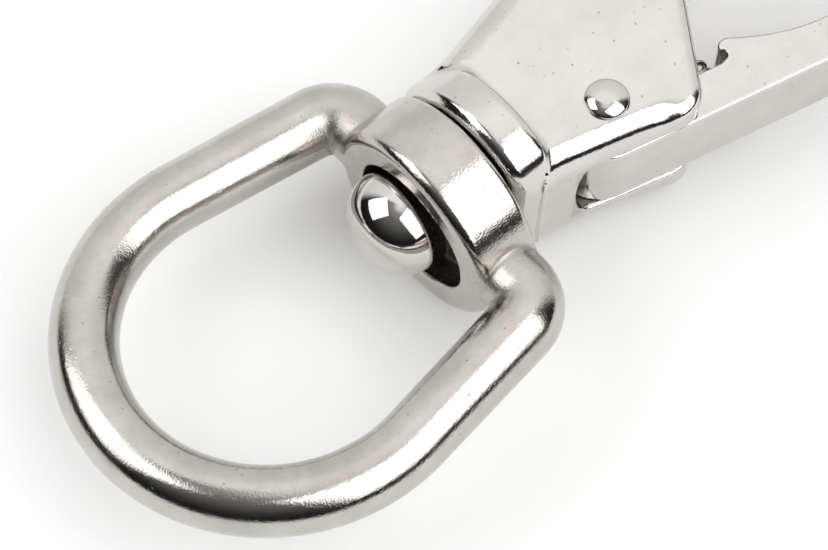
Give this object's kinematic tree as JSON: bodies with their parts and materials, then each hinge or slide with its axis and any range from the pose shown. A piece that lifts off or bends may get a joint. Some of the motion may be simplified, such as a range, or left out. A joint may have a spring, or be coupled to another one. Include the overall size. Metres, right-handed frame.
{
  "type": "swivel snap hook",
  "caption": "Swivel snap hook: a round-bar bail turns on a headed pin in the collar of a flat-sided hook whose sprung gate swings inward on a cross rivet.",
  "frame": {"origin": "centre of the bail's bow, on the swivel axis", "axes": "+X along the swivel axis from the bail to the hook's crown, +Y in the hook's plane toward its spine (the gate is on the -Y side), +Z square to the hook's flat faces"},
  "size_m": [0.1145, 0.0399, 0.0202],
  "materials": {
    "bail_steel": "tumbled satin",
    "pin_steel": "polished",
    "body_steel": "tumbled satin",
    "gate_steel": "tumbled satin",
    "rivet_steel": "polished",
    "spring_steel": "bright drawn wire"
  },
  "bodies": {
    "hook": {"hook_body": "body_steel", "swivel_pin": "pin_steel", "gate_rivet": "rivet_steel", "gate_spring": "spring_steel"},
    "bail": {"bail": "bail_steel"},
    "gate": {"gate": "gate_steel"}
  },
  "joints": [
    {"name": "bail_swivel", "type": "hinge", "parent": "hook", "child": "bail", "pos_m": [0.0195, 0, 0], "axis": [1, 0, 0], "continuous": true},
    {"name": "gate_hinge", "type": "hinge", "parent": "hook", "child": "gate", "pos_m": [0.03545, -0.00435, 0], "axis": [0, 0, 1], "range_deg": [0, 25], "stiffness_Nm_per_rad": 0.55, "springref_deg": -16.04, "deforming": ["gate_spring"]}
  ]
}
